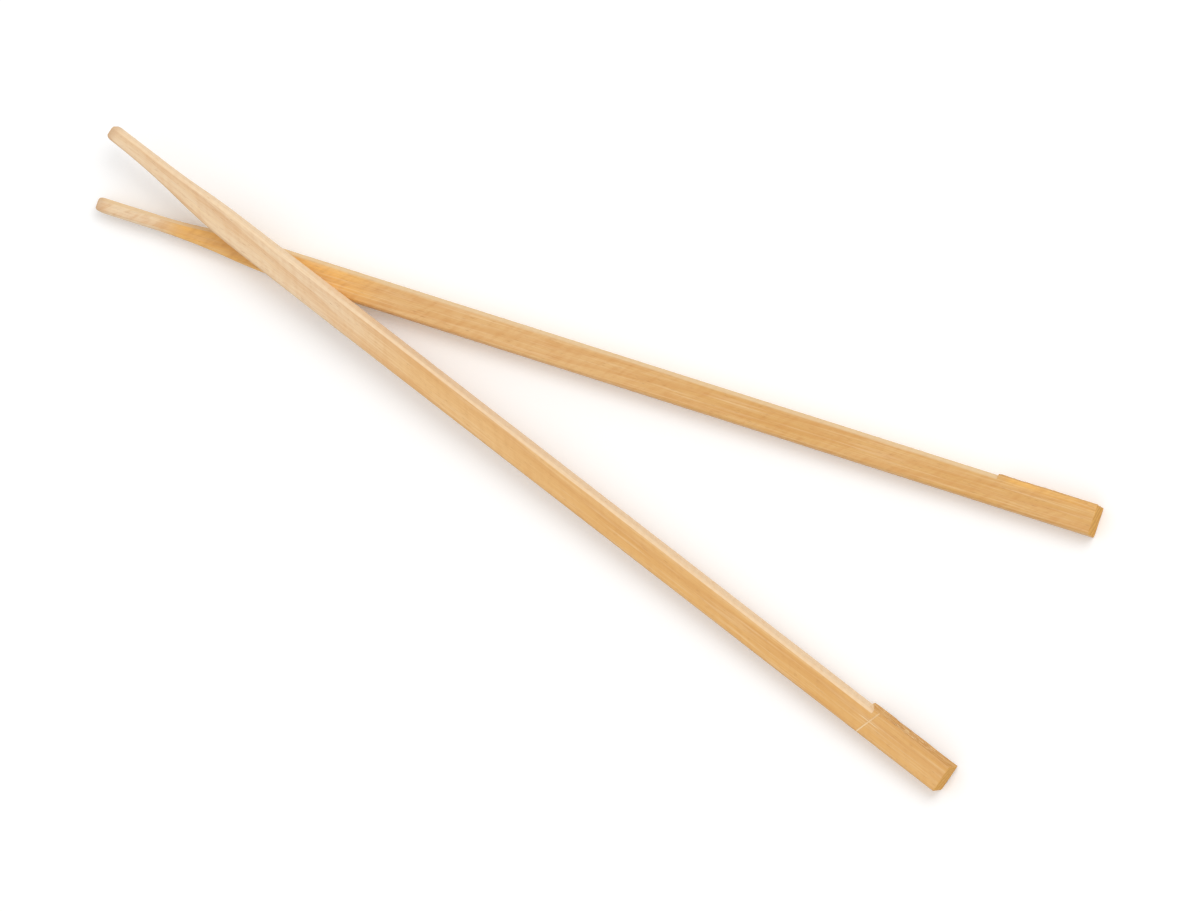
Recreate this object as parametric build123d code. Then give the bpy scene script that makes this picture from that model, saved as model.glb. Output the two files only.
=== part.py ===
from build123d import *
import math
import os

# A pair of disposable wooden chopsticks, split from one flat slat.
# A saw slot ran between the two halves from the tips and stopped short of the butt.
# There the halves were joined until they were pulled apart, and the wood tore along the grain.
# The lower half lies flat. The upper half crosses it near the tips, with its butt end down.
# Millimetres. +X runs along the lower half from tip to butt, and +Z is up.
# The origin is under the middle of the pair, on the surface that they lie on.

# Slat
length = 203.0
thickness = 4.7
upper_width = 5.1
lower_width = 5.5

# Saw slot between the halves, cut from the slat's front face by a round blade
slot_width = 0.6
slot_chamfer = 0.6
head_length = 18.0
saw_radius = 60.0
saw_centre_height = 20.0

# Share of the slot's width that the upper half kept of the torn wood in the head,
# at even steps from the slat's back face to its front face
torn_shares = [0.62, 0.38, 0.7, 0.5, 0.82, 0.42, 0.66, 0.35, 0.58]

# Tips, with planed faces
tip_width = 2.75
tip_thickness = 2.6
tip_break = 0.4
face_taper_length = 57.0

# Both sides of a tip run straight, then curve out to the full width. The saw and the plane
# took each half a little differently.
upper_sawn_inset = 0.5
upper_sawn_run = 12.0
upper_sawn_curve = 18.0
upper_outer_run = 2.0
upper_outer_curve = 32.0
lower_sawn_inset = 1.05
lower_sawn_run = 13.0
lower_sawn_curve = 20.0
lower_outer_run = 12.0
lower_outer_curve = 30.0

# Broken edges
edge_chamfer = 0.35
butt_chamfer = 0.25

# How the pair lies, with each crossing measured from that half's tip
crossing_angle = 19.2
upper_crossing = 41.5
lower_crossing = 39.0
contact_gap = 0.02

# The same taper is planed off the slat's front and back faces
face_taper = (thickness - tip_thickness) / 2
face_slope = math.atan(face_taper / face_taper_length)


def swell(start, end):
    """Two arcs in an S, from the end of a tip's straight run out to the full width."""
    middle = ((start[0] + end[0]) / 2, (start[1] + end[1]) / 2)
    hollow = TangentArc(start, middle, tangent=(1, 0))
    TangentArc(middle, end, tangent=hollow % 1)


def plan_outline(width, sawn_inset, sawn_run, sawn_curve, outer_run, outer_curve):
    """A half from above: the sawn side is at +Y, and the outer side is at -Y."""
    sawn = width / 2
    outer = -width / 2
    tip_sawn = sawn - sawn_inset
    tip_outer = tip_sawn - tip_width
    sawn_full = (sawn_run + sawn_curve, sawn)
    outer_full = (outer_run + outer_curve, outer)
    with BuildSketch() as plan:
        with BuildLine():
            Polyline((outer_run, tip_outer), (0, tip_outer), (0, tip_sawn), (sawn_run, tip_sawn))
            swell((sawn_run, tip_sawn), sawn_full)
            Polyline(sawn_full, (length, sawn), (length, outer), outer_full)
            swell((outer_run, tip_outer), outer_full)
        make_face()
    return plan.sketch


def side_outline():
    """A half from the side: both faces are planed down towards the tip."""
    with BuildSketch(Plane.XZ) as side:
        with BuildLine():
            Polyline(
                (0, face_taper),
                (face_taper_length, 0),
                (length, 0),
                (length, thickness),
                (face_taper_length, thickness),
                (0, thickness - face_taper),
                close=True,
            )
        make_face()
    return side.sketch


def lengthwise(edge):
    size = edge.bounding_box().size
    return size.X > size.Y + size.Z


def shaft(outline, width, tip_middle):
    """The half without its torn wood, with its long edges and both ends broken."""
    body = extrude(outline, thickness)
    body &= extrude(side_outline(), width, both=True)
    sawn_edges = body.edges().filter_by(lambda edge: lengthwise(edge) and edge.center().Y > tip_middle)
    body = chamfer(sawn_edges, slot_chamfer)
    outer_edges = body.edges().filter_by(lambda edge: lengthwise(edge) and edge.center().Y < tip_middle)
    body = chamfer(outer_edges, edge_chamfer)
    body = chamfer(body.faces().sort_by(Axis.X)[0].edges(), tip_break)
    return chamfer(body.faces().sort_by(Axis.X)[-1].edges(), butt_chamfer)


def torn_head(width, shares):
    """The head's inner strip: ridges of torn grain that begin at the slot's round end."""
    sawn = width / 2
    root = sawn - 2 * slot_chamfer
    step = thickness / (len(shares) - 1)
    ridges = [(sawn + slot_width * share, step * index) for index, share in enumerate(shares)]
    start = length - head_length
    with BuildSketch(Plane.YZ) as section:
        with BuildLine():
            Polyline((root, 0), *ridges, (root, thickness), close=True)
        make_face()
    strip = Pos(start - thickness, 0, 0) * extrude(section.sketch, head_length + thickness)
    centre_height = thickness + saw_centre_height
    centre = start - math.sqrt(saw_radius**2 - saw_centre_height**2)
    blade = Pos(centre, 0, centre_height) * Rot(90, 0, 0) * Cylinder(saw_radius, 4 * width)
    return strip - blade


def half(width, shares, sawn_inset, sawn_run, sawn_curve, outer_run, outer_curve):
    outline = plan_outline(width, sawn_inset, sawn_run, sawn_curve, outer_run, outer_curve)
    tip_middle = width / 2 - sawn_inset - tip_width / 2
    return shaft(outline, width, tip_middle) + torn_head(width, shares)


def upper_location():
    """Lay the upper half flat on the lower half's taper, then tip it over that taper's outer
    edge until the lowest corner of its butt meets the surface."""
    along = Vector(math.cos(face_slope), 0, math.sin(face_slope))
    normal = Vector(-math.sin(face_slope), 0, math.cos(face_slope))
    lower_rise = (face_taper_length - lower_crossing) * math.tan(face_slope)
    upper_rise = (face_taper_length - upper_crossing) * math.tan(face_slope)
    lower_face = Plane(origin=(lower_crossing, 0, thickness - lower_rise), x_dir=along, z_dir=normal)
    upper_face = Plane(
        origin=(upper_crossing, 0, upper_rise),
        x_dir=(along.X, 0, -along.Z),
        z_dir=(-normal.X, 0, normal.Z),
    )
    flat = lower_face.location * Location((0, 0, contact_gap), (0, 0, -crossing_angle))
    flat *= upper_face.location.inverse()

    edge = Vector(face_taper_length, edge_chamfer - lower_width / 2, thickness)
    corner = Pos(length - butt_chamfer, edge_chamfer - upper_width / 2, 0)
    reach = (flat * corner).position - edge
    above = reach.dot(normal)
    surface = -(edge.Z + reach.dot(along) * along.Z) / normal.Z
    tip_over = math.atan2(above, -reach.Y) - math.asin(surface / math.hypot(above, reach.Y))
    hinge = Plane(origin=edge, x_dir=along, z_dir=normal).location
    return hinge * Rot(math.degrees(tip_over), 0, 0) * hinge.inverse() * flat


# The lower half is the upper one's mirror twin. It lies turned over, and kept the rest of the tear.
lower_shares = [1 - share for share in torn_shares]
lower = half(
    lower_width,
    lower_shares,
    lower_sawn_inset,
    lower_sawn_run,
    lower_sawn_curve,
    lower_outer_run,
    lower_outer_curve,
)
lower = Pos(0, 0, thickness) * mirror(lower, about=Plane.XY)
upper = upper_location() * half(
    upper_width,
    torn_shares,
    upper_sawn_inset,
    upper_sawn_run,
    upper_sawn_curve,
    upper_outer_run,
    upper_outer_curve,
)

pair_box = lower.bounding_box().add(upper.bounding_box())
to_origin = Pos(-pair_box.center().X, -pair_box.center().Y, 0)
os.makedirs("parts", exist_ok=True)
export_step(to_origin * lower, "parts/lower_chopstick.step")
export_step(to_origin * upper, "parts/upper_chopstick.step")
print("pair", pair_box.size)
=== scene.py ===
# %% [markdown]
# # A pair of disposable wooden chopsticks
# Two sticks were split from one flat slat of pale wood, and lie crossed near their tips.
# A saw slot had parted them for most of their length. Only the head, the last stretch before the
# butt, was left joined, and there the wood tore along its grain when the pair was pulled apart.
# This lesson dresses the plain solids of the two sticks with a finer shape and with real-looking wood.
# A maker thinks in millimetres and Blender works in metres, so the sizes of the sticks are written in
# millimetres and multiplied by `MM`.

import math

import bpy
from mathutils import Matrix, Vector, noise


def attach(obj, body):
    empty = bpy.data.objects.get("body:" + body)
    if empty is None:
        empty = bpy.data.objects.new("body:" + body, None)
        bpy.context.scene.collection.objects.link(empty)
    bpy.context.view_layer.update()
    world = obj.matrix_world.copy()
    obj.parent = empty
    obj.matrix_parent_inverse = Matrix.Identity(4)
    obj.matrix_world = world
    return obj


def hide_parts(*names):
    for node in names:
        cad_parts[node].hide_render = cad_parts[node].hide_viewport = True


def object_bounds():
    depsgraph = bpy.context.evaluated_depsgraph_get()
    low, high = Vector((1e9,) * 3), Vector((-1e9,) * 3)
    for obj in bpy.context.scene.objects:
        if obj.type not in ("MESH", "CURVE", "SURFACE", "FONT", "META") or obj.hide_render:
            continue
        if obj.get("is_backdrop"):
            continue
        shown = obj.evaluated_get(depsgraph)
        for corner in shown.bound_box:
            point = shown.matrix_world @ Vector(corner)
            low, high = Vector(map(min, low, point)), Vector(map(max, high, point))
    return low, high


MM = 0.001

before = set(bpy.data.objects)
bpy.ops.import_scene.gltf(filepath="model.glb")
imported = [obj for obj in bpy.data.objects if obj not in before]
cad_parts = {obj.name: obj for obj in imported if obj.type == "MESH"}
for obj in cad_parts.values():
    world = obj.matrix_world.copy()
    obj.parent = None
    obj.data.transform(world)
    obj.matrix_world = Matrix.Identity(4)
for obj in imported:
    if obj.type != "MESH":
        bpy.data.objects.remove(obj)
solid_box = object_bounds()
print("solids:", sorted(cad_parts))
print("their box in mm:", [round(value / MM, 1) for value in solid_box[1] - solid_box[0]])

# %% [markdown]
# ## Reading each stick's own axes from its solid
# The lower stick lies flat. The upper one is turned, pitched and rolled, so its sides face odd ways.
# Copying those angles by hand invites errors, but a stick has wide flat sides: the widest one that
# looks up is a planed face, and the widest one that looks outwards is the side of the slat. Those two
# directions are square to each other and to the length, and give the stick's own axes.

# %% Find the flat sides of a solid
ROUGHLY_THAT_WAY = 0.7
SAME_WAY = 0.99999


def widest_flat(mesh, wanted):
    """The direction of the widest flat side that faces roughly the wanted way."""
    totals = []
    for polygon in mesh.polygons:
        if polygon.normal.dot(wanted) < ROUGHLY_THAT_WAY:
            continue
        for total in totals:
            if total[0].dot(polygon.normal) > SAME_WAY:
                total[1] += polygon.area
                break
        else:
            totals.append([polygon.normal.copy(), polygon.area])
    return max(totals, key=lambda total: total[1])[0].normalized()


def flat_place(mesh, direction):
    """How far out the widest flat side lies that faces exactly this way."""
    facing = [polygon for polygon in mesh.polygons if polygon.normal.dot(direction) > SAME_WAY]
    return max(facing, key=lambda polygon: polygon.area).center.dot(direction)


# %% [markdown]
# ## One record for each stick
# Both halves were shaped in the same pass, so one drawing serves for both: the tip is at X 0, the butt
# at X `length`, the sawn side faces +Y and the slat's front face is at Z `thickness`. The upper stick
# shows its front face. The lower one was turned over after the split, which makes it the mirror twin
# of the upper one. `place` is the matrix that takes a point from that drawing to where the stick lies.
# Length, width and thickness are measured here, so the dressed sticks always fit their solids.

# %% Measure the sticks
def measure_stick(node, front_is_up, seed):
    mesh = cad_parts[node].data
    up = widest_flat(mesh, Vector((0, 0, 1)))
    sawn_way = -widest_flat(mesh, Vector((0, -1, 0)))
    along = sawn_way.cross(up).normalized()
    reach = [vertex.co.dot(along) for vertex in mesh.vertices]
    rise = [vertex.co.dot(up) for vertex in mesh.vertices]
    outer = -flat_place(mesh, -sawn_way)
    sawn = flat_place(mesh, sawn_way)
    front = up if front_is_up else -up
    back_height = min(rise) if front_is_up else max(rise)
    place = Matrix((along, sawn_way, front)).transposed().to_4x4()
    place.translation = along * min(reach) + sawn_way * (outer + sawn) / 2 + up * back_height
    return {
        "node": node,
        "length": max(reach) - min(reach),
        "width": sawn - outer,
        "thickness": max(rise) - min(rise),
        "seed": seed,
        "place": place,
    }


upper = measure_stick("upper_chopstick", front_is_up=True, seed=3)
lower = measure_stick("lower_chopstick", front_is_up=False, seed=8)
sticks = (upper, lower)
for stick in sticks:
    sizes = {name: round(stick[name] / MM, 2) for name in ("length", "width", "thickness")}
    print(stick["node"], sizes)

# %% [markdown]
# ## The torn wood
# Where wood is pulled apart along the grain, it leaves long ridges and furrows. What one half keeps,
# the other half lacks, so one function describes the tear for both sticks. A short list of shares
# gives the ridges, and smooth noise, stretched along the grain, frays them. The noise is read at
# fixed places, so the result is the same every time. The tear begins where the round saw blade
# stopped, and the circle of that blade says where this is at each height.

# %% The tear between the two halves
SLOT_WIDTH = 0.6 * MM
HEAD_LENGTH = 18.0 * MM
SAW_RADIUS = 60.0 * MM
SAW_CENTRE_HEIGHT = 20.0 * MM

# Share of the slot's width that the upper stick kept of the torn wood, from the back face to the front
TORN_SHARES = (0.62, 0.38, 0.7, 0.5, 0.82, 0.42, 0.66, 0.35, 0.58)
LEAST_SHARE = 0.05
MOST_SHARE = 0.95

# Strength of the coarse and the fine fraying, their sizes along and across the grain, and the layer
# of the noise that each is read from
FRAYS = ((0.22, 7.0 * MM, 0.5 * MM, 0.5), (0.12, 2.2 * MM, 0.22 * MM, 7.5))


def upper_share(x, height, thickness):
    """Share of the slot's width that the upper stick kept at this place of the tear."""
    steps = len(TORN_SHARES) - 1
    place = min(max(height / thickness, 0.0), 1.0) * steps
    index = min(int(place), steps - 1)
    share = TORN_SHARES[index] + (TORN_SHARES[index + 1] - TORN_SHARES[index]) * (place - index)
    for amount, length, width, layer in FRAYS:
        share += amount * noise.noise(Vector((x / length, height / width, layer)))
    return min(max(share, LEAST_SHARE), MOST_SHARE)


def torn_depth(stick, x, height):
    """How far the torn wood stands out from the stick's sawn side."""
    share = upper_share(x, height, stick["thickness"])
    return SLOT_WIDTH * (share if stick is upper else 1 - share)


def head_start(stick, height):
    """Where the round saw blade stopped, at this height above the back face."""
    front_start = stick["length"] - HEAD_LENGTH
    centre = front_start - math.sqrt(SAW_RADIUS**2 - SAW_CENTRE_HEIGHT**2)
    below = stick["thickness"] + SAW_CENTRE_HEIGHT - height
    return centre + math.sqrt(SAW_RADIUS**2 - below**2)


starts = [round(head_start(upper, height) / MM, 2) for height in (0, upper["thickness"])]
print("the head starts at mm:", starts[0], "on the back face and", starts[1], "on the front face")

# %% [markdown]
# ## The outline of the sawn bar
# Before its tip is planed, a stick is a bar with four broken edges, the two beside the slot deeper
# than the others. The outline is walked once around, and each point keeps its part's name and its
# share of the way along that part. Giving every ring the same points lets one skin run from the tip
# to the butt, and lets the points of the sawn side spread out later over the torn head.

# %% Walk around the section
SLOT_CHAMFER = 0.6 * MM
EDGE_BREAK = 0.35 * MM
EDGE_ROUNDING = 0.35

SAWN_POINTS = 26
SLOT_EDGE_POINTS = 5
FACE_POINTS = 12
OUTER_EDGE_POINTS = 4
OUTER_POINTS = 10


def flat_run(start, end, count):
    """Evenly spaced points from start up to, but without, the end."""
    return [Vector(start).lerp(Vector(end), i / count) for i in range(count)]


def broken_edge(start, end, corner, count):
    """A broken edge: a flat from start to end that bulges a little towards the corner."""
    start, end, corner = Vector(start), Vector(end), Vector(corner)
    hub = start + end - corner
    points = []
    for i in range(count):
        turn = math.pi / 2 * i / count
        arc = hub + (start - hub) * math.cos(turn) + (end - hub) * math.sin(turn)
        points.append(start.lerp(end, i / count).lerp(arc, EDGE_ROUNDING))
    return points


def bar_outline(stick):
    """The bar's outline as (part, y, z, share of the way along that part)."""
    half = stick["width"] / 2
    top = stick["thickness"]
    slot, edge = SLOT_CHAMFER, EDGE_BREAK
    front_slot = broken_edge((half, top - slot), (half - slot, top), (half, top), SLOT_EDGE_POINTS)
    front_edge = broken_edge((edge - half, top), (-half, top - edge), (-half, top), OUTER_EDGE_POINTS)
    back_edge = broken_edge((-half, edge), (edge - half, 0), (-half, 0), OUTER_EDGE_POINTS)
    back_slot = broken_edge((half - slot, 0), (half, slot), (half, 0), SLOT_EDGE_POINTS)
    parts = (
        ("sawn", flat_run((half, slot), (half, top - slot), SAWN_POINTS)),
        ("front slot edge", front_slot),
        ("face", flat_run((half - slot, top), (edge - half, top), FACE_POINTS)),
        ("edge", front_edge),
        ("outer", flat_run((-half, top - edge), (-half, edge), OUTER_POINTS)),
        ("edge", back_edge),
        ("face", flat_run((edge - half, 0), (half - slot, 0), FACE_POINTS)),
        ("back slot edge", back_slot),
    )
    return [(part, y, z, i / len(points)) for part, points in parts for i, (y, z) in enumerate(points)]


for stick in sticks:
    stick["outline"] = bar_outline(stick)
print("points around a stick:", len(upper["outline"]))

# %% [markdown]
# ## One ring of the skin
# A ring is the outline at one place along the bar. Beyond the end of the slot, the points of the sawn
# side stand out to the torn surface and spread over the full thickness. The change takes only a
# fraction of a millimetre, because a saw leaves a clean end. Each point also carries three marks, for
# sawn wood, torn wood and end grain, which the material reads later. The upper stick has a fine nick
# across its front face, a little askew, right where the head begins, so the face dips there.

# %% Make a ring
SLOT_END_SOFTNESS = 0.22 * MM
NICK_PLACE = 185.4 * MM
NICK_SLANT = 0.34
NICK_REACH = 0.15 * MM
NICK_DEPTH = 0.1 * MM


def ease(value):
    value = min(max(value, 0.0), 1.0)
    return value * value * (3 - 2 * value)


def torn_place(stick, part, share, x):
    """Where a point of the sawn side or of its broken edges goes in the torn head."""
    half, top = stick["width"] / 2, stick["thickness"]
    if part == "sawn":
        return half + torn_depth(stick, x, top * share), top * share
    height, way = (top, share) if part == "front slot edge" else (0.0, 1 - share)
    outside = half + torn_depth(stick, x, height)
    return outside + (half - SLOT_CHAMFER - outside) * way, height


def ring(stick, x, inset=0.0, end_grain=0.0):
    """The outline at x as (place, marks) for each point, shrunk by inset towards the middle."""
    half, middle = stick["width"] / 2, stick["thickness"] / 2
    found = []
    for part, y, z, share in stick["outline"]:
        sawn = torn = 0.0
        if part == "sawn" or "slot" in part:
            torn_y, torn_z = torn_place(stick, part, share, x)
            torn = ease((x - head_start(stick, torn_z)) / SLOT_END_SOFTNESS)
            y, z = y + (torn_y - y) * torn, z + (torn_z - z) * torn
            sawn = 1 - torn
            torn = torn if part == "sawn" else 0.0
        if stick is upper and part == "face" and z > middle:
            z -= NICK_DEPTH * max(0.0, 1 - abs(x - NICK_PLACE - NICK_SLANT * y) / NICK_REACH)
        y -= inset * min(max(y / (half - EDGE_BREAK), -1), 1)
        z -= inset * min(max((z - middle) / (middle - EDGE_BREAK), -1), 1)
        found.append(((x, y, z), (sawn, torn, end_grain)))
    return found


# %% [markdown]
# ## The bar from end to end
# Rings sit close together at the tip and in the torn head, where the shape changes fast, and further
# apart along the plain shaft. Both ends have rounded rims and are closed with smaller and smaller
# rings down to one point in the middle, so that there is no hole and no single huge face. The tip has
# the longer, softer rim, because it is worn. The noise in the end rings is the slight roughness that
# a saw leaves across the grain.

# %% Line up the rings
TIP_BREAK = 0.4 * MM
BUTT_BREAK = 0.25 * MM

# Each ring of a rim: how far it lies from the end and how far in, in breaks, and its end grain
TIP_RIM = (
    (0.0, 1.15, 1.0), (0.15, 0.9, 0.7), (0.4, 0.65, 0.3),
    (0.8, 0.4, 0.0), (1.4, 0.18, 0.0), (2.1, 0.06, 0.0),
)
BUTT_RIM = ((1.0, 0.0, 0.0), (0.5, 0.12, 0.2), (0.15, 0.45, 0.7), (0.0, 0.9, 1.0))
# How many breaks the tip's rim takes up before the plain rings begin
TIP_RIM_LENGTH = 2.8

TIP_STRETCH = 6.0 * MM
BEFORE_HEAD = 3.0 * MM
TIP_STEP = 0.25 * MM
SHAFT_STEP = 0.8 * MM
HEAD_STEP = 0.13 * MM
NICK_STEP = 0.05 * MM

END_RINGS = (0.85, 0.7, 0.55, 0.4, 0.25, 0.1)
END_ROUGHNESS = 0.06 * MM
END_ROUGHNESS_SIZE = 0.35 * MM


def spaced(start, end, step):
    count = max(1, round((end - start) / step))
    return [start + (end - start) * i / count for i in range(count)]


def rounded_rim(stick, end, inward, size, rim):
    """The rings of a rim; inward is 1 where the stick begins and -1 where it stops."""
    return [ring(stick, end + inward * size * far, size * inset, grain) for far, inset, grain in rim]


def closing_rings(rim, inward, seed):
    """Smaller and smaller rings that close an end, and the middle point as the last one."""
    middle = sum((Vector(place) for place, _ in rim), Vector()) / len(rim)
    rings = []
    for size in END_RINGS:
        found = []
        for place, _ in rim:
            point = middle.lerp(Vector(place), size)
            spot = Vector((seed, point.y / END_ROUGHNESS_SIZE, point.z / END_ROUGHNESS_SIZE))
            point.x += inward * END_ROUGHNESS * (0.5 + 0.5 * noise.noise(spot))
            found.append((tuple(point), (0.0, 0.0, 1.0)))
        rings.append(found)
    middle.x += inward * END_ROUGHNESS / 2
    return rings, (tuple(middle), (0.0, 0.0, 1.0))


def bar_rings(stick):
    """The stick as a bar: the tip's pole, all the rings and the butt's pole."""
    length = stick["length"]
    before_head = length - HEAD_LENGTH - BEFORE_HEAD
    places = spaced(TIP_BREAK * TIP_RIM_LENGTH, TIP_STRETCH, TIP_STEP)
    places += spaced(TIP_STRETCH, before_head, SHAFT_STEP)
    places += spaced(before_head, length - BUTT_BREAK, HEAD_STEP)
    if stick is upper:
        nick_half = NICK_SLANT * stick["width"] / 2 + NICK_REACH
        places = sorted(places + spaced(NICK_PLACE - nick_half, NICK_PLACE + nick_half, NICK_STEP))
    tip = rounded_rim(stick, 0.0, 1, TIP_BREAK, TIP_RIM)
    butt = rounded_rim(stick, length, -1, BUTT_BREAK, BUTT_RIM)
    tip_close, tip_pole = closing_rings(tip[0], 1, stick["seed"])
    butt_close, butt_pole = closing_rings(butt[-1], -1, stick["seed"] + 1)
    shaft = [ring(stick, x) for x in places]
    return tip_pole, tip_close[::-1] + tip + shaft + butt + butt_close, butt_pole


for stick in sticks:
    stick["rings"] = bar_rings(stick)
    print("rings along", stick["node"], len(stick["rings"][1]))

# %% [markdown]
# ## One closed skin
# Rings become a mesh by joining each point to its neighbours around and along. The corners of a face
# are listed so that, seen from outside, they run anticlockwise, because that is how Blender knows
# which side is the outside. The marks go in as named attributes, one number for each point.

# %% Skin the rings
MARKS = ("sawn", "torn", "end_grain")


def skin(name, tip_pole, rings, butt_pole):
    around = len(rings[0])
    points = [tip_pole] + [point for found in rings for point in found] + [butt_pole]
    faces = [(1 + (i + 1) % around, 1 + i, 0) for i in range(around)]
    for first in range(1, 1 + (len(rings) - 1) * around, around):
        for i in range(around):
            after = (i + 1) % around
            faces.append((first + i, first + after, first + around + after, first + around + i))
    last = len(points) - 1
    faces += [(last - around + i, last - around + (i + 1) % around, last) for i in range(around)]
    mesh = bpy.data.meshes.new(name)
    mesh.from_pydata([place for place, _ in points], [], faces)
    for index, mark in enumerate(MARKS):
        values = mesh.attributes.new(mark, "FLOAT", "POINT").data
        values.foreach_set("value", [marks[index] for _, marks in points])
    return mesh


def add_object(name, data):
    added = bpy.data.objects.new(name, data)
    bpy.context.scene.collection.objects.link(added)
    return added


for stick in sticks:
    name = stick["node"] + "_bar"
    stick["bar"] = bar = add_object(name, skin(name, *stick.pop("rings")))
    print(bar.name, "points:", len(bar.data.vertices), "faces:", len(bar.data.polygons))

# %% [markdown]
# ## Helpers for node trees
# Both the planing and the finishes are built from nodes, and writing every link out hides the idea
# behind the plumbing. These helpers place a node and feed it, so that a tree reads like a recipe.

# %% Place and feed nodes
def put(tree, kind, feeds=None, **settings):
    """Adds a node. A feed is either a plain value or the socket that it comes from."""
    node = tree.nodes.new(kind)
    for name, value in settings.items():
        setattr(node, name, value)
    for socket, value in (feeds or {}).items():
        if isinstance(value, bpy.types.NodeSocket):
            tree.links.new(value, node.inputs[socket])
        else:
            node.inputs[socket].default_value = value
    return node


def calc(tree, operation, *values):
    return put(tree, "ShaderNodeMath", dict(enumerate(values)), operation=operation).outputs[0]


def vector_calc(tree, operation, *values):
    return put(tree, "ShaderNodeVectorMath", dict(enumerate(values)), operation=operation).outputs[0]


def times(tree, first, second):
    return calc(tree, "MULTIPLY", first, second)


def less(tree, first, second):
    return calc(tree, "SUBTRACT", first, second)


def xyz_of(tree, vector):
    return put(tree, "ShaderNodeSeparateXYZ", {0: vector}).outputs


def place_at(tree, x=0.0, y=0.0, z=0.0):
    return put(tree, "ShaderNodeCombineXYZ", {0: x, 1: y, 2: z}).outputs[0]


def graded(tree, value, start, end, at_start=0.0, at_end=1.0, curve="LINEAR"):
    """Goes from one number to another while value goes from start to end, and stops at both."""
    feeds = {"Value": value, "From Min": start, "From Max": end, "To Min": at_start, "To Max": at_end}
    return put(tree, "ShaderNodeMapRange", feeds, interpolation_type=curve).outputs["Result"]


def stretched_noise(tree, place, size, detail, seed):
    """Smooth noise whose blots have this size along X, Y and Z."""
    feeds = {"Vector": vector_calc(tree, "DIVIDE", place, size), "W": seed, "Scale": 1.0, "Detail": detail}
    return put(tree, "ShaderNodeTexNoise", feeds, noise_dimensions="4D").outputs["Fac"]


def new_tree(name, sizes, others=()):
    """An empty tree with a mesh going in and out, and named inputs."""
    tree = bpy.data.node_groups.new(name, "GeometryNodeTree")
    tree.interface.new_socket("Geometry", in_out="INPUT", socket_type="NodeSocketGeometry")
    for size in sizes:
        tree.interface.new_socket(size, in_out="INPUT", socket_type="NodeSocketFloat")
    for other, kind in others:
        tree.interface.new_socket(other, in_out="INPUT", socket_type=kind)
    tree.interface.new_socket("Geometry", in_out="OUTPUT", socket_type="NodeSocketGeometry")
    return tree, put(tree, "NodeGroupInput").outputs


def use_tree(piece, tree, values):
    """Gives the piece a Geometry Nodes modifier and sets its inputs by their identifiers."""
    modifier = piece.modifiers.new(tree.name, "NODES")
    modifier.node_group = tree
    for item in tree.interface.items_tree:
        if item.in_out == "INPUT" and item.name in values:
            modifier[item.identifier] = values[item.name]


# %% [markdown]
# ## Planing the tip, as a rule
# A real chopstick is a bar that was planed down to its tip, and a rule says how much is taken off at
# each place. Geometry Nodes suit this: a tree can move every point of the bar by that rule, and its
# named inputs are the sizes that a maker would set on the machine. The two faces get a straight
# taper. Each side keeps a straight run at the tip and then swells to the full width in an S. Only the
# flat part between two broken edges is squeezed, so the edges keep their size.

# %% The rule of the plane
PLANING_SIZES = (
    "Width", "Thickness", "Edge Break", "Slot Chamfer", "Tip Width", "Tip Thickness", "Face Taper Length",
    "Sawn Inset", "Sawn Run", "Sawn Curve", "Outer Run", "Outer Curve",
    "Wave Depth", "Seed", "Slat Shift", "Slat Side",
)


def planed_share(tree, x, run, curve):
    """1 along a tip's straight run, then down to 0 along two shallow bends in an S."""
    way = graded(tree, x, run, calc(tree, "ADD", run, curve))
    first = calc(tree, "MINIMUM", way, 0.5)
    second = calc(tree, "MAXIMUM", less(tree, way, 0.5), 0.0)
    first_bend = times(tree, calc(tree, "POWER", first, 2.0), 2.0)
    second_bend = times(tree, less(tree, second, calc(tree, "POWER", second, 2.0)), 2.0)
    return less(tree, less(tree, 1.0, first_bend), second_bend)


def planed_offset(tree, size, x, y, z):
    """How far the planing moves a point, in from the two sides and in from the two faces."""
    half = times(tree, size["Width"], 0.5)
    outer_edge = less(tree, size["Edge Break"], half)
    slot_edge = less(tree, half, size["Slot Chamfer"])
    outer_share = graded(tree, y, outer_edge, slot_edge, 1.0, 0.0)
    sawn_share = less(tree, 1.0, outer_share)

    outer_inset = less(tree, less(tree, size["Width"], size["Tip Width"]), size["Sawn Inset"])
    outer = times(tree, planed_share(tree, x, size["Outer Run"], size["Outer Curve"]), outer_inset)
    sawn = times(tree, planed_share(tree, x, size["Sawn Run"], size["Sawn Curve"]), size["Sawn Inset"])
    inwards = less(tree, times(tree, outer, outer_share), times(tree, sawn, sawn_share))

    face_depth = times(tree, less(tree, size["Thickness"], size["Tip Thickness"]), 0.5)
    face_taper = graded(tree, x, 0.0, size["Face Taper Length"], face_depth, 0.0)
    top_edge = less(tree, size["Thickness"], size["Edge Break"])
    height_share = graded(tree, z, size["Edge Break"], top_edge, 1.0, -1.0)
    return place_at(tree, 0.0, inwards, times(tree, face_taper, height_share))


# %% [markdown]
# ## The planing tree
# The tree moves the points by the rule and presses in the faint waves that a planer leaves. Last, it
# stores in `slat` where in the slat each point now lies, in millimetres, with Y 0 in the middle of the
# slot. Grain runs through the slat, so the wood needs that place wherever the stick is laid later.

# %% Build the planing tree
WAVE_SIZE = (16.0 * MM, 5.0 * MM, 5.0 * MM)


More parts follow.
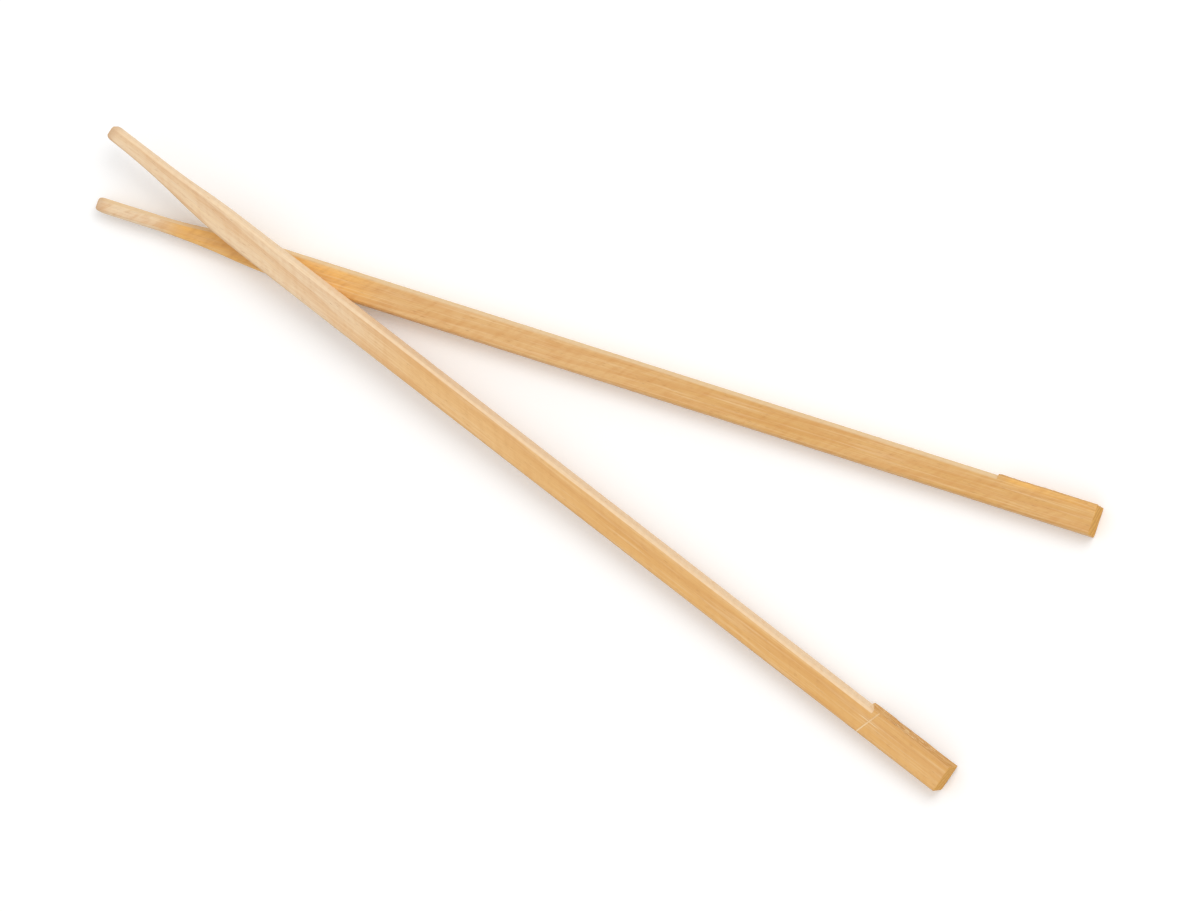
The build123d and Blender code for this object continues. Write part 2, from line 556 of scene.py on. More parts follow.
def pressed_waves(tree, size, place):
    """An offset into the surface, deeper and shallower in long soft waves."""
    waves = stretched_noise(tree, place, WAVE_SIZE, 1.0, size["Seed"])
    depth = times(tree, less(tree, waves, 1.0), size["Wave Depth"])
    normal = put(tree, "GeometryNodeInputNormal").outputs[0]
    return put(tree, "ShaderNodeVectorMath", {0: normal, "Scale": depth}, operation="SCALE").outputs[0]


def build_planing_tree():
    tree, size = new_tree("plane the tip", PLANING_SIZES, (("Wood", "NodeSocketMaterial"),))
    place = put(tree, "GeometryNodeInputPosition").outputs[0]
    x, y, z = xyz_of(tree, place)
    piece = size["Geometry"]
    for offset in (planed_offset(tree, size, x, y, z), pressed_waves(tree, size, place)):
        piece = put(tree, "GeometryNodeSetPosition", {"Geometry": piece, "Offset": offset}).outputs[0]

    across = times(tree, calc(tree, "ADD", y, size["Slat Shift"]), size["Slat Side"])
    in_slat = vector_calc(tree, "DIVIDE", place_at(tree, x, across, z), (MM, MM, MM))
    feeds = {"Geometry": piece, "Name": "slat", "Value": in_slat}
    piece = put(tree, "GeometryNodeStoreNamedAttribute", feeds, data_type="FLOAT_VECTOR").outputs[0]
    piece = put(tree, "GeometryNodeSetShadeSmooth", {0: piece}).outputs[0]
    piece = put(tree, "GeometryNodeSetMaterial", {"Geometry": piece, "Material": size["Wood"]}).outputs[0]
    put(tree, "NodeGroupOutput", {0: piece})
    return tree


planing_tree = build_planing_tree()
print("planing tree nodes:", len(planing_tree.nodes))

# %% [markdown]
# ## Loose fibres, scattered over a surface
# Torn wood bristles with slivers that lie along the grain and lift at one end, and a saw leaves finer
# fuzz beside its slot. There are hundreds of them and they follow a rule, so Geometry Nodes scatter
# them. First comes the one bent and tapered sliver that all the others are copies of.

# %% Shape one sliver
FIBRE_SPANS = 5
FIBRE_SIDES = 4
FAR_END_THICKNESS = 0.12


def one_sliver(tree, size):
    """A sliver along X that thins towards its far end and curls up off the surface."""
    far_end = place_at(tree, size["Length"])
    line = put(tree, "GeometryNodeCurvePrimitiveLine", {"End": far_end}).outputs[0]
    line = put(tree, "GeometryNodeResampleCurve", {"Curve": line, "Count": FIBRE_SPANS + 1}).outputs[0]
    way = put(tree, "GeometryNodeSplineParameter").outputs["Factor"]
    lift = times(tree, calc(tree, "POWER", way, 2.0), size["Lift"])
    curl = place_at(tree, z=lift)
    line = put(tree, "GeometryNodeSetPosition", {"Geometry": line, "Offset": curl}).outputs[0]
    feeds = {"Resolution": FIBRE_SIDES, "Radius": times(tree, size["Thickness"], 0.5)}
    profile = put(tree, "GeometryNodeCurvePrimitiveCircle", feeds).outputs[0]
    taper = graded(tree, way, 0.0, 1.0, 1.0, FAR_END_THICKNESS)
    feeds = {"Curve": line, "Profile Curve": profile, "Scale": taper, "Fill Caps": True}
    return put(tree, "GeometryNodeCurveToMesh", feeds).outputs[0]


# %% [markdown]
# ## Growing the fibres
# The tree picks points where the wood is marked as torn or sawn, stands a sliver on each and turns it
# along the grain, one way or the other, with a slight slant. Their sizes differ. A fixed seed keeps
# them in place, and the instances are made real at the end, so that they belong to the piece.

# %% Build the fibre tree
FIBRE_SIZES = ("Start", "End", "Lowest", "Highest", "Density", "Length", "Thickness", "Lift", "Spread")
# The smallest and the largest sliver, along the grain, across it and off the surface
SMALLEST_SLIVER = (0.35, 0.6, 0.3)
LARGEST_SLIVER = (1.0, 1.3, 1.2)


def marked_here(tree, size):
    """1 on the marked wood, between the start and the end and between the two heights."""
    mark = put(tree, "GeometryNodeInputNamedAttribute", {"Name": size["Mark"]}).outputs[0]
    place = put(tree, "GeometryNodeInputPosition").outputs[0]
    x, _, z = xyz_of(tree, place)
    here = calc(tree, "GREATER_THAN", mark, 0.5)
    for value, least, most in ((x, size["Start"], size["End"]), (z, size["Lowest"], size["Highest"])):
        here = times(tree, here, calc(tree, "GREATER_THAN", value, least))
        here = times(tree, here, calc(tree, "LESS_THAN", value, most))
    return here


def either_side(tree, seed):
    """A number from -1 to 1, another one for each sliver."""
    return put(tree, "FunctionNodeRandomValue", {2: -1.0, 3: 1.0, "Seed": seed}).outputs[1]


def turned_along_grain(tree, size, normal):
    """Stands a sliver off the surface and turns it along the grain, one way or the other."""
    way = calc(tree, "SIGN", either_side(tree, size["Seed"]))
    sideways = times(tree, either_side(tree, calc(tree, "ADD", size["Seed"], 1)), size["Spread"])
    standing = put(tree, "FunctionNodeAlignRotationToVector", {"Vector": normal}, axis="Z").outputs[0]
    feeds = {"Rotation": standing, "Vector": place_at(tree, way, 0.0, sideways)}
    return put(tree, "FunctionNodeAlignRotationToVector", feeds, axis="X", pivot_axis="Z").outputs[0]


def build_fibre_tree():
    others = (("Mark", "NodeSocketString"), ("Seed", "NodeSocketInt"), ("Fibre", "NodeSocketMaterial"))
    tree, size = new_tree("scatter fibres", FIBRE_SIZES, others)
    density = calc(tree, "DIVIDE", size["Density"], MM**2)
    feeds = {"Mesh": size["Geometry"], "Selection": marked_here(tree, size), "Density": density}
    spots = put(tree, "GeometryNodeDistributePointsOnFaces", feeds | {"Seed": size["Seed"]}).outputs
    feeds = {0: SMALLEST_SLIVER, 1: LARGEST_SLIVER, "Seed": calc(tree, "ADD", size["Seed"], 2)}
    scale = put(tree, "FunctionNodeRandomValue", feeds, data_type="FLOAT_VECTOR").outputs[0]
    slivers = put(tree, "GeometryNodeInstanceOnPoints", {
        "Points": spots["Points"], "Instance": one_sliver(tree, size), "Scale": scale,
        "Rotation": turned_along_grain(tree, size, spots["Normal"]),
    }).outputs[0]
    real = put(tree, "GeometryNodeRealizeInstances", {"Geometry": slivers}).outputs[0]
    feeds = {"Geometry": real, "Material": size["Fibre"]}
    finished = put(tree, "GeometryNodeSetMaterial", feeds).outputs[0]
    joined = put(tree, "GeometryNodeJoinGeometry")
    tree.links.new(finished, joined.inputs[0])
    tree.links.new(size["Geometry"], joined.inputs[0])
    put(tree, "NodeGroupOutput", {0: joined.outputs[0]})
    return tree


fibre_tree = build_fibre_tree()
print("fibre tree nodes:", len(fibre_tree.nodes))

# %% [markdown]
# ## Colours of the wood
# Pale, unvarnished wood has no single colour. The planed taper at the tips is the palest, partly
# because fresh planing leaves paler wood and partly as a painted highlight, for the light that the
# tilted faces of the taper catch. The shaft turns to honey, the sawn side beside the slot is creamy,
# and torn wood and end grain are a deeper amber because light sinks in between the fibres. The two
# halves aren't alike, so each has a look of its own: the upper stick stays pale for a third of its
# length, while the lower one turns early, where the painted shade of the upper stick begins. The
# lower one also has a stretch of painted amber shade where the sticks cross, standing in for the
# upper stick's shadow and the warm light that it throws back, and shows more of a slanted figure.
# Colours are written as a paint chart gives them, from 0 to 255, and Blender wants them linear.

# %% Mix the colours
def paint(red, green, blue):
    def linear(level):
        level /= 255
        return level / 12.92 if level <= 0.04045 else ((level + 0.055) / 1.055) ** 2.4
    return (linear(red), linear(green), linear(blue), 1.0)


LATE_WOOD = paint(206, 144, 78)
LIGHT_FIBRE = paint(243, 209, 160)
PORE = paint(166, 108, 58)
# A darker brown over the first millimetres of each tip
DARKER_TIP_END = paint(205, 166, 128)
FRESH_CUT = paint(252, 222, 176)
TORN_DARK = paint(198, 142, 74)
TORN_LIGHT = paint(228, 182, 118)
END_AMBER = paint(232, 176, 88)
END_DARK = paint(200, 138, 62)

# Colours along each stick and where they change, in millimetres from the tip. The stretch of painted
# shade, where the upper stick shades the lower one, is its start, its end and how softly it comes in.
# The slope is how fast the growth rings climb along it.
UPPER_LOOK = {
    # The pale tip colour is partly paler planed wood and partly a painted highlight on the tilted taper
    "tip": paint(238, 210, 174), "near": paint(232, 186, 125), "far": paint(227, 174, 101),
    "sawn": paint(244, 217, 181), "heart_and_painted_shade": paint(220, 165, 92), "painted_shade_stretch": None,
    "pale_until": 66.0, "pale_fade": 14.0, "slope": 0.006, "slanted": 0.16,
}
LOWER_LOOK = {
    "tip": paint(240, 216, 182), "near": paint(223, 177, 116), "far": paint(218, 168, 98),
    # The lower stick's amber stretch beside the crossing is painted shade of the upper stick
    "sawn": paint(232, 203, 160), "heart_and_painted_shade": paint(246, 187, 92), "painted_shade_stretch": (19.0, 50.0, 6.0),
    "pale_until": 14.5, "pale_fade": 5.0, "slope": 0.03, "slanted": 0.42,
}
for name, look in (("upper", UPPER_LOOK), ("lower", LOWER_LOOK)):
    print(name, "stick's honey as linear light:", [round(level, 3) for level in look["near"][:3]])

# %% [markdown]
# ## Wood that is cut from a solid pattern
# Grain isn't painted on a stick: it runs through the slat, and each face shows a cut through it. So
# every pattern here is a solid one, read at the place in the slat that the planing tree stored. Most
# are noise that is stretched along the grain, from broad clouds down to fine pores. Growth rings are
# thin shells around a far-off pith, and show as lines on the faces and as arcs on the ends. Short
# streaks that run askew to the length are the figure that sloping grain gives.

# %% Patterns in the slat
# Size of a blot in millimetres along, across and through the slat, its detail, and the two levels of
# the noise between which the pattern comes in
PATTERNS = {
    "clouds": ((38.0, 2.2, 2.2), 3.0, 0.35, 0.7),
    "fibres": ((9.0, 0.16, 0.16), 2.0, 0.42, 0.72),
    "light": ((14.0, 0.3, 0.3), 2.0, 0.5, 0.75),
    "pores": ((1.6, 0.09, 0.09), 1.0, 0.64, 0.76),
    "shreds": ((3.5, 0.22, 0.22), 3.0, 0.35, 0.7),
    "dots": ((2.0, 0.1, 0.1), 1.0, 0.55, 0.72),
    "slanted": ((4.5, 1.3, 2.5), 2.0, 0.45, 0.7),
    "mottle": ((11.0, 1.1, 1.1), 2.0, 0.3, 0.65),
}
FIGURE_SLOPE = 0.9
PITH = (-17.0, -31.0)
RING_SPACING = 1.25
RING_WANDER = 3.2
RING_WANDER_SIZE = (70.0, 6.0, 6.0)


def pattern(tree, slat, name, seed):
    """0 where a pattern is absent, rising to 1 where it is strongest. Each has its own noise."""
    size, detail, absent, strongest = PATTERNS[name]
    own_seed = seed + 1 + list(PATTERNS).index(name)
    return graded(tree, stretched_noise(tree, slat, size, detail, own_seed), absent, strongest)


def turned_askew(tree, slat):
    """The slat's places turned about its thickness, for streaks that run askew to the length."""
    x, y, z = xyz_of(tree, slat)
    along = less(tree, x, times(tree, y, FIGURE_SLOPE))
    across = calc(tree, "ADD", times(tree, x, FIGURE_SLOPE), y)
    return place_at(tree, along, across, z)


def growth_rings(tree, slat, slope, seed):
    """0 in the early wood of each year, rising to 1 in its late wood."""
    x, y, z = xyz_of(tree, slat)
    across = calc(tree, "POWER", less(tree, y, PITH[0]), 2.0)
    through = calc(tree, "POWER", less(tree, z, PITH[1]), 2.0)
    radius = calc(tree, "SQRT", calc(tree, "ADD", across, through))
    wander = times(tree, stretched_noise(tree, slat, RING_WANDER_SIZE, 2.0, seed), RING_WANDER)
    radius = calc(tree, "ADD", calc(tree, "ADD", radius, wander), times(tree, x, slope))
    year = calc(tree, "FRACT", calc(tree, "DIVIDE", radius, RING_SPACING))
    late_wood = graded(tree, year, 0.25, 0.9, 0.0, 1.0, "SMOOTHSTEP")
    winter = graded(tree, year, 0.93, 1.0, 1.0, 0.0)
    return times(tree, late_wood, winter)


print("patterns:", list(PATTERNS))

# %% [markdown]
# ## Marks of the tools
# A round blade leaves arcs on the wall of its slot, and the blade's own circle gives them. The nick
# was cut into the upper stick's front face, and a scratch along the grain crosses it. The ring of the
# skin already dips at the cut. The scratch is too fine to model, so it is only coloured, and both get
# a little relief further down. Fresh wood shows in them, which is why they are pale.

# %% Saw marks and the nick
SAW_PITCH = 1.7
# From the middle of a mark out to where it is still full, and to where it has gone
CUT_HALF_WIDTH = (0.08, 0.2)
SCRATCH_HALF_WIDTH = (0.03, 0.13)
SCRATCH_HALF_LENGTH = (1.4, 2.6)
SCRATCH_ACROSS = 0.6
SCRATCH_STRENGTH = 0.75
SCRATCH_BEND = 0.2
SCRATCH_BEND_SIZE = (1.2, 1.0, 1.0)
CUT_SHALLOW_END = 0.55


def saw_marks(tree, slat):
    x, y, z = xyz_of(tree, slat)
    centre_height = (SAW_CENTRE_HEIGHT + upper["thickness"]) / MM
    below = calc(tree, "POWER", less(tree, z, centre_height), 2.0)
    reach = calc(tree, "SQRT", less(tree, (SAW_RADIUS / MM) ** 2, below))
    turns = times(tree, less(tree, x, reach), 2 * math.pi / SAW_PITCH)
    return graded(tree, calc(tree, "SINE", turns), -1.0, 1.0)


def nick(tree, slat):
    """The fine cut across the upper stick's front face, crossed by a scratch along the grain."""
    x, y, z = xyz_of(tree, slat)
    face = upper["thickness"] / MM
    on_face = graded(tree, z, face - 0.25, face - 0.15)
    across = less(tree, y, -(upper["width"] + SLOT_WIDTH) / 2 / MM)
    cut_line = calc(tree, "ADD", NICK_PLACE / MM, times(tree, across, NICK_SLANT))
    from_cut = calc(tree, "ABSOLUTE", less(tree, x, cut_line))
    cut = graded(tree, from_cut, *CUT_HALF_WIDTH, 1.0, 0.0)
    cut = times(tree, cut, graded(tree, across, -1.0, 1.5, 1.0, CUT_SHALLOW_END))
    bend = times(tree, stretched_noise(tree, slat, SCRATCH_BEND_SIZE, 2.0, 0.0), SCRATCH_BEND)
    scratch_line = less(tree, calc(tree, "ADD", across, bend), SCRATCH_ACROSS)
    scratch = graded(tree, calc(tree, "ABSOLUTE", scratch_line), *SCRATCH_HALF_WIDTH, SCRATCH_STRENGTH, 0.0)
    scratch = times(tree, scratch, graded(tree, from_cut, *SCRATCH_HALF_LENGTH, 1.0, 0.0))
    return times(tree, calc(tree, "MAXIMUM", cut, scratch), on_face)


# %% [markdown]
# ## The colour of planed wood
# The colour starts with the change from the pale tip to the honey shaft, and then each pattern tints
# it a little, the broad ones first. Deeper heart wood lies beside the tear in the head. Along the
# stretch that the look gives, the same amber is painted shade, where the upper stick shades the lower
# one. Both are mottled, because their borders aren't clean ones.

# %% Colour the planed wood
# Which pattern tints the wood, how much at most, and with which colour
TINTS = (
    ("clouds", 0.25, LIGHT_FIBRE), ("slanted", 1.0, LATE_WOOD), ("rings", 0.3, LATE_WOOD),
    ("fibres", 0.3, LATE_WOOD), ("light", 0.5, LIGHT_FIBRE), ("pores", 0.5, PORE),
)
# In millimetres from the tip, either way from the head's start, and out from the middle of the slot
HONEY_DEEPENS = (75.0, 150.0)
HEAD_FADE = 1.5
BESIDE_TEAR = (0.3, 2.2)
# Share of the heart wood and of the painted shade where their mottle is weakest, and where it is strongest
HEART_AND_SHADE_STRENGTH = (0.5, 0.95)
# A mix node has sockets for each kind of value, and these are its sockets for colours
MIX_SHARE, MIX_FIRST, MIX_SECOND, MIX_RESULT = 0, 6, 7, 2


def tint(tree, colour, other, share, most=1.0):
    """Turns a colour towards another one, by at most this much where the share is 1."""
    feeds = {MIX_SHARE: times(tree, share, most), MIX_FIRST: colour, MIX_SECOND: other}
    return put(tree, "ShaderNodeMix", feeds, data_type="RGBA").outputs[MIX_RESULT]


def softly(tree, value, start, end, at_start=0.0, at_end=1.0):
    return graded(tree, value, start, end, at_start, at_end, "SMOOTHSTEP")


def heart_and_painted_shade_share(tree, look, mottle, x, across):
    """How much heart wood shows beside the tear, and how much painted shade along the look's own stretch.
    """
    head = (upper["length"] - HEAD_LENGTH) / MM
    beside_tear = softly(tree, calc(tree, "ABSOLUTE", across), *BESIDE_TEAR, 1.0, 0.0)
    share = times(tree, beside_tear, softly(tree, x, head - HEAD_FADE, head + HEAD_FADE))
    # Along this stretch the amber is painted shade, where the upper stick shades the lower one
    if look["painted_shade_stretch"]:
        start, stop, soft = look["painted_shade_stretch"]
        rise = softly(tree, x, start - soft, start)
        fall = softly(tree, x, stop, stop + 2 * soft, 1.0, 0.0)
        share = calc(tree, "MAXIMUM", share, times(tree, rise, fall))
    return times(tree, share, graded(tree, mottle, 0.0, 1.0, *HEART_AND_SHADE_STRENGTH))


def planed_colour(tree, slat, look, found):
    x, across, _ = xyz_of(tree, slat)
    until, fade = look["pale_until"], look["pale_fade"]
    honey = tint(tree, look["near"], look["far"], softly(tree, x, *HONEY_DEEPENS))
    # Pale tip: partly paler planed wood, partly a painted highlight where the tapered faces catch more
    # light. On the lower stick the pale ends early, where the painted shade of the upper stick begins.
    colour = tint(tree, look["tip"], honey, softly(tree, x, until - fade, until + fade))
    colour = tint(tree, colour, look["heart_and_painted_shade"], heart_and_painted_shade_share(tree, look, found["mottle"], x, across))
    for name, most, other in TINTS:
        colour = tint(tree, colour, other, found[name], most)
    return colour


# %% [markdown]
# ## Sawn, torn and end-grain wood
# The marks that the skin carries say where the planed wood gives way to another cut of the same slat.
# A sawn wall is creamy with faint arcs, torn wood is shredded in two shades, and end grain shows the
# growth rings and dots for the open ends of the pores. The brownish darkening of the tips' ends and
# the pale nick come last, because they lie over all of it. The same patterns also feed the roughness
# and a very shallow bump, so that what looks like a pore also catches light like one.

# %% Build the wood
DARKER_TIP_STRETCH = (0.3, 2.4)
DARKER_TIP_STRENGTH = 0.55
CUT_STRENGTH = 0.8
PLANED_ROUGHNESS = 0.52
ROUGHER = (("fibres", 0.14), ("sawn", 0.14), ("torn", 0.16), ("end_grain", 0.2))
# Which pattern stands out or dips, how much, and the mark that it is bound to
RELIEF = (
    ("light", 0.4, None), ("fibres", -0.4, None), ("pores", -1.0, None), ("saw marks", 0.8, "sawn"),
    ("shreds", 2.0, "torn"), ("dots", -1.5, "end_grain"), ("nick", -3.0, None),
)


def read_patterns(tree, slat, look, seed):
    """Every pattern and mark of a stick by its name, each from 0 to 1."""
    found = {mark: put(tree, "ShaderNodeAttribute", attribute_name=mark).outputs["Fac"] for mark in MARKS}
    found |= {name: pattern(tree, slat, name, seed) for name in PATTERNS if name != "slanted"}
    slanted = pattern(tree, turned_askew(tree, slat), "slanted", seed)
    found["slanted"] = times(tree, slanted, look["slanted"])
    found["rings"] = growth_rings(tree, slat, look["slope"], seed)
    found["saw marks"] = saw_marks(tree, slat)
    return found


def marked_colour(tree, look, found, colour):
    """Sawn, torn and end-grain wood over the planed wood, each where its mark is."""
    creamy = tint(tree, look["sawn"], look["near"], found["saw marks"], 0.12)
    creamy = tint(tree, creamy, LATE_WOOD, found["fibres"], 0.2)
    colour = tint(tree, colour, creamy, found["sawn"], 0.85)
    colour = tint(tree, colour, tint(tree, TORN_DARK, TORN_LIGHT, found["shreds"]), found["torn"])
    end = tint(tree, END_AMBER, END_DARK, found["rings"], 0.6)
    end = tint(tree, end, END_DARK, found["dots"], 0.6)
    return tint(tree, colour, end, found["end_grain"])


def new_finish(name):
    """A material, its tree and the shader that the finish feeds."""
    material = bpy.data.materials.new(name)
    material.use_nodes = True
    return material, material.node_tree, material.node_tree.nodes["Principled BSDF"]


def build_wood(name, stick, look):
    material, tree, shader = new_finish(name)
    shader.inputs["Specular IOR Level"].default_value = 0.35
    slat = put(tree, "ShaderNodeAttribute", attribute_name="slat").outputs["Vector"]
    x = xyz_of(tree, slat)[0]
    found = read_patterns(tree, slat, look, float(stick["seed"]))

    colour = marked_colour(tree, look, found, planed_colour(tree, slat, look, found))
    # The first two millimetres of each tip turn a darker brown
    colour = tint(tree, colour, DARKER_TIP_END, softly(tree, x, *DARKER_TIP_STRETCH, DARKER_TIP_STRENGTH, 0.0))
    if stick is upper:
        found["nick"] = nick(tree, slat)
        colour = tint(tree, colour, FRESH_CUT, found["nick"], CUT_STRENGTH)
    tree.links.new(colour, shader.inputs["Base Color"])

    rough = PLANED_ROUGHNESS
    for pattern_name, more in ROUGHER:
        rough = calc(tree, "ADD", rough, times(tree, found[pattern_name], more))
    tree.links.new(rough, shader.inputs["Roughness"])

    height = 0.0
    for pattern_name, amount, mark in RELIEF:
        if pattern_name in found:
            part = times(tree, found[pattern_name], amount)
            part = times(tree, part, found[mark]) if mark else part
            height = calc(tree, "ADD", height, part)
    bump = put(tree, "ShaderNodeBump", {"Height": height, "Strength": 0.6, "Distance": 0.03 * MM})
    tree.links.new(bump.outputs[0], shader.inputs["Normal"])
    print(name, "nodes:", len(tree.nodes))
    return material


upper_wood = build_wood("upper wood", upper, UPPER_LOOK)
lower_wood = build_wood("lower wood", lower, LOWER_LOOK)

# %% [markdown]
# ## The fibres' own finish
# A loose fibre is thin and stands off the wood, so it is lighter than the tear that it grew from. Its
# colour still varies from one sliver to the next, which noise in the object's own space gives.

# %% Build the fibre finish
FIBRE_LIGHT = paint(243, 214, 165)
FIBRE_DARK = paint(219, 168, 104)
# In each metre
FIBRE_BLOTS = 900.0


def build_fibre_finish():
    material, tree, shader = new_finish("torn fibre")
    spot = put(tree, "ShaderNodeTexCoord").outputs["Object"]
    feeds = {"Vector": spot, "Scale": FIBRE_BLOTS, "Detail": 2.0}
    blots = put(tree, "ShaderNodeTexNoise", feeds).outputs["Fac"]
    colour = tint(tree, FIBRE_DARK, FIBRE_LIGHT, graded(tree, blots, 0.35, 0.65))
    tree.links.new(colour, shader.inputs["Base Color"])
    tree.links.new(graded(tree, blots, 0.3, 0.7, 0.55, 0.75), shader.inputs["Roughness"])
    bump = put(tree, "ShaderNodeBump", {"Height": blots, "Strength": 0.4, "Distance": 0.02 * MM})
    tree.links.new(bump.outputs[0], shader.inputs["Normal"])
    return material


fibre_finish = build_fibre_finish()
print("blots of the fibres' colour, in mm:", round(1 / FIBRE_BLOTS / MM, 1))

# %% [markdown]
# ## From bars to finished sticks
# Each bar now goes through the trees: planing first, then slivers on the torn wood, then finer fuzz on
# the sawn side. Blender evaluates the modifiers and hands back a plain mesh, which is moved to where
# the stick lies. The lower stick's matrix mirrors it, which turns a skin inside out, so its faces are
# flipped back. Edges that bend sharply are kept crisp, and the rest is shaded smoothly. The sizes of
# the tips stand here, because each half was sawn and planed a little differently.

# %% Finish both sticks
PLANE = {
    "Edge Break": EDGE_BREAK, "Slot Chamfer": SLOT_CHAMFER, "Tip Width": 2.75 * MM,
    "Tip Thickness": 2.6 * MM, "Face Taper Length": 57.0 * MM, "Wave Depth": 0.05 * MM,
}
UPPER_TIP = {
    "Sawn Inset": 0.5 * MM, "Sawn Run": 12.0 * MM, "Sawn Curve": 18.0 * MM,
    "Outer Run": 2.0 * MM, "Outer Curve": 32.0 * MM, "Slat Side": 1.0,
}
LOWER_TIP = {
    "Sawn Inset": 1.05 * MM, "Sawn Run": 13.0 * MM, "Sawn Curve": 20.0 * MM,
    "Outer Run": 12.0 * MM, "Outer Curve": 30.0 * MM, "Slat Side": -1.0,
}
TORN_FIBRES = {
    "Mark": "torn", "Density": 1.1, "Length": 3.6 * MM, "Thickness": 0.11 * MM, "Lift": 0.28 * MM,
    "Spread": 0.1,
}
SAWN_FUZZ = {
    "Mark": "sawn", "Density": 0.35, "Length": 1.1 * MM, "Thickness": 0.045 * MM, "Lift": 0.16 * MM,
    "Spread": 0.35,
}
END_MARGIN = 4.0 * MM
EDGE_MARGIN = 0.5 * MM
FUZZ_SEED = 10
CRISP_ANGLE = math.radians(38)


def plane_and_grow(stick, tip, wood):
    """Gives the bar its modifiers: the planing, the torn fibres and the sawn fuzz."""
    bar, thickness, seed = stick["bar"], stick["thickness"], stick["seed"]
    head, end = stick["length"] - HEAD_LENGTH, stick["length"] - END_MARGIN
    use_tree(bar, planing_tree, PLANE | tip | {
        "Width": stick["width"], "Thickness": thickness, "Seed": float(seed),
        "Slat Shift": -(stick["width"] + SLOT_WIDTH) / 2, "Wood": wood,
    })
    use_tree(bar, fibre_tree, TORN_FIBRES | {
        "Start": head, "End": end, "Lowest": EDGE_MARGIN, "Highest": thickness - EDGE_MARGIN,
        "Seed": seed, "Fibre": fibre_finish,
    })
    use_tree(bar, fibre_tree, SAWN_FUZZ | {
        "Start": END_MARGIN, "End": head - END_MARGIN, "Lowest": SLOT_CHAMFER,
        "Highest": thickness - SLOT_CHAMFER, "Seed": seed + FUZZ_SEED, "Fibre": fibre_finish,
    })


def finish_stick(stick, tip, wood):
    plane_and_grow(stick, tip, wood)
    bar = stick["bar"]
    depsgraph = bpy.context.evaluated_depsgraph_get()
    mesh = bpy.data.meshes.new_from_object(bar.evaluated_get(depsgraph), depsgraph=depsgraph)
    bpy.data.objects.remove(bar)
    for index in reversed(range(len(mesh.materials))):
        if mesh.materials[index] is None:
            mesh.materials.pop(index=index)
    mesh.transform(stick["place"])
    if stick["place"].determinant() < 0:
        mesh.flip_normals()
    mesh.set_sharp_from_angle(angle=CRISP_ANGLE)
    piece = add_object(stick["node"] + "_wood", mesh)
    mesh.name = piece.name
    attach(piece, "root")
    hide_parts(stick["node"])
    mesh.calc_loop_triangles()
    print(piece.name, "triangles:", len(mesh.loop_triangles), "finishes:", [m.name for m in mesh.materials])


finish_stick(upper, UPPER_TIP, upper_wood)
finish_stick(lower, LOWER_TIP, lower_wood)

# %% [markdown]
# ## A white table
# The sticks are shown on plain white. The floor is a real surface, because the sticks' shadow on it is
# what makes them lie there. Seen by the camera it is a little brighter than for the light that bounces
# off it, so that it reads as clean white while the undersides of the sticks get no false glow.

# %% Build the floor
FLOOR_HALF = 6.0
FLOOR_CORNERS = ((-1, -1), (1, -1), (1, 1), (-1, 1))
FLOOR_GAP = 0.01 * MM
FLOOR_PALE = 0.8
FLOOR_GLOW = 0.06


def white_for_camera(tree, plain, seen):
    """A number that is plain for the light and seen for what looks at or through this surface."""
    rays = put(tree, "ShaderNodeLightPath").outputs
    looks = calc(tree, "MAXIMUM", rays["Is Camera Ray"], rays["Is Glossy Ray"])
    looks = calc(tree, "MAXIMUM", looks, rays["Is Transmission Ray"])
    return graded(tree, looks, 0.0, 1.0, plain, seen)


def build_floor():
    mesh = bpy.data.meshes.new("floor")
    corners = [(x * FLOOR_HALF, y * FLOOR_HALF, -FLOOR_GAP) for x, y in FLOOR_CORNERS]
    mesh.from_pydata(corners, [], [(0, 1, 2, 3)])
    material, tree, shader = new_finish("white table")
    shader.inputs["Roughness"].default_value = 0.9
    shader.inputs["Specular IOR Level"].default_value = 0.0
    level = white_for_camera(tree, FLOOR_PALE, 1.0)
    colour = put(tree, "ShaderNodeCombineColor", {0: level, 1: level, 2: level}).outputs[0]
    tree.links.new(colour, shader.inputs["Base Color"])
    shader.inputs["Emission Color"].default_value = (1, 1, 1, 1)
    tree.links.new(white_for_camera(tree, 0.0, FLOOR_GLOW), shader.inputs["Emission Strength"])
    mesh.materials.append(material)
    floor = add_object("floor", mesh)
    floor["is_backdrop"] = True


build_floor()
print("the floor is this many metres wide:", 2 * FLOOR_HALF)

# %% [markdown]
# ## The view
# The sticks are seen from far off through a long lens, looking almost straight down, from the side of
# the butts. The turn of the picture is a roll about the line of sight. The aim is the point on the
# table that lies in the middle of the picture, and the field is how much of the scene the picture's
# width takes in there.

# %% Place the camera
TILT = math.radians(18.0)
HEADING = math.radians(-9.0)
ROLL = math.radians(62.8)
DISTANCE = 2.5
FIELD = 221.3 * MM
AIM = Vector((7.15, 4.46, 0.5)) * MM
SENSOR = 36.0

upright = Vector((0, 0, 1))
sideways = Vector((math.cos(HEADING), math.sin(HEADING), 0))
towards = sideways * math.sin(TILT) + upright * math.cos(TILT)
level_up = upright * math.sin(TILT) - sideways * math.cos(TILT)
level_right = level_up.cross(towards)
picture_right = level_right * math.cos(ROLL) - level_up * math.sin(ROLL)
picture_up = level_right * math.sin(ROLL) + level_up * math.cos(ROLL)

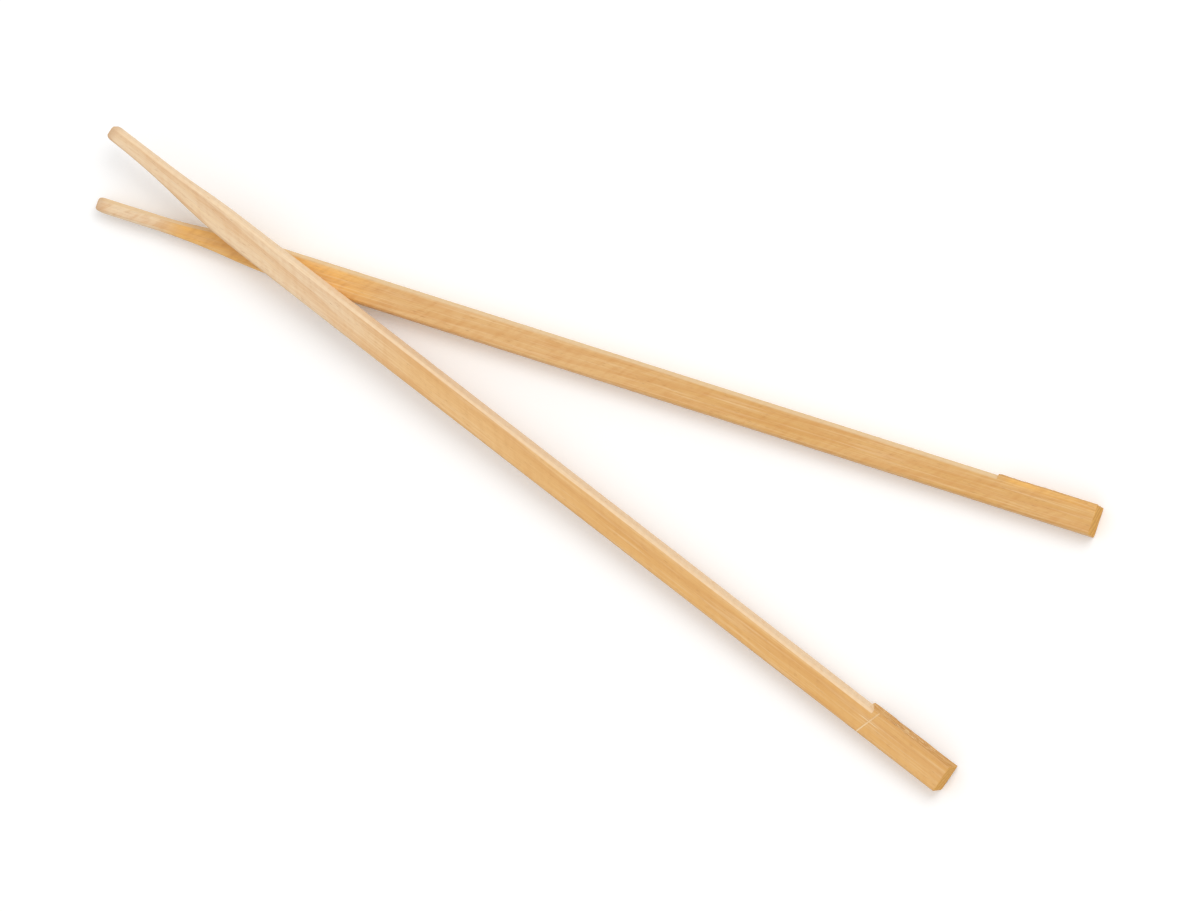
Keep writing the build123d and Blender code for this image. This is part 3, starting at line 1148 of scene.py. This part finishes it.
lens = bpy.data.cameras.new("camera")
lens.sensor_width = SENSOR
lens.lens = SENSOR * DISTANCE / FIELD
camera = add_object("camera", lens)
camera.matrix_world = Matrix((picture_right, picture_up, towards)).transposed().to_4x4()
camera.location = AIM + towards * DISTANCE
bpy.context.scene.camera = camera
print("lens in mm:", round(lens.lens, 1))

# %% [markdown]
# ## Soft light
# A bright, even room gives most of the light, and one wide lamp above, towards the picture's upper
# right, gives the direction, so that the sides that face it are a little brighter and each stick
# throws a soft shadow. Together they light a flat surface so that its colour comes out as written.

# %% Light the scene
ROOM_LIGHT = 0.8
LAMP_POWER = 3.6
LAMP_SIZE = 0.7
# To the right and up in the picture, and above the table, in metres
LAMP_OFFSET = Vector((0.45, 0.35, 1.0))


def build_room():
    world = bpy.data.worlds.new("bright room")
    world.use_nodes = True
    tree = world.node_tree
    background = tree.nodes["Background"]
    background.inputs["Color"].default_value = (1, 1, 1, 1)
    tree.links.new(white_for_camera(tree, ROOM_LIGHT, 1.0), background.inputs["Strength"])
    bpy.context.scene.world = world


def build_lamp():
    lamp = bpy.data.lights.new("wide lamp", "AREA")
    lamp.shape = "DISK"
    lamp.size = LAMP_SIZE
    lamp.energy = LAMP_POWER
    holder = add_object("wide lamp", lamp)
    side = picture_right * LAMP_OFFSET.x + picture_up * LAMP_OFFSET.y
    holder.location = Vector((side.x, side.y, 0)) + Vector((0, 0, LAMP_OFFSET.z))
    holder.rotation_mode = "QUATERNION"
    holder.rotation_quaternion = holder.location.to_track_quat("Z", "Y")
    print("the lamp hangs at, in metres:", [round(value, 2) for value in holder.location])


build_room()
build_lamp()
bpy.context.scene.view_settings.view_transform = "Standard"

# %% [markdown]
# ## The last look at the sizes
# Dressing may not change a size. The finished sticks' box should lie just inside the solids' box,
# because rims are rounded and faces are waved inwards. Both boxes are written down for comparison.

# %% Print both boxes
dressed_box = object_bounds()
for name, box in (("solid", solid_box), ("dressed", dressed_box)):
    print(name, "box in mm:", [[round(value / MM, 2) for value in corner] for corner in box])
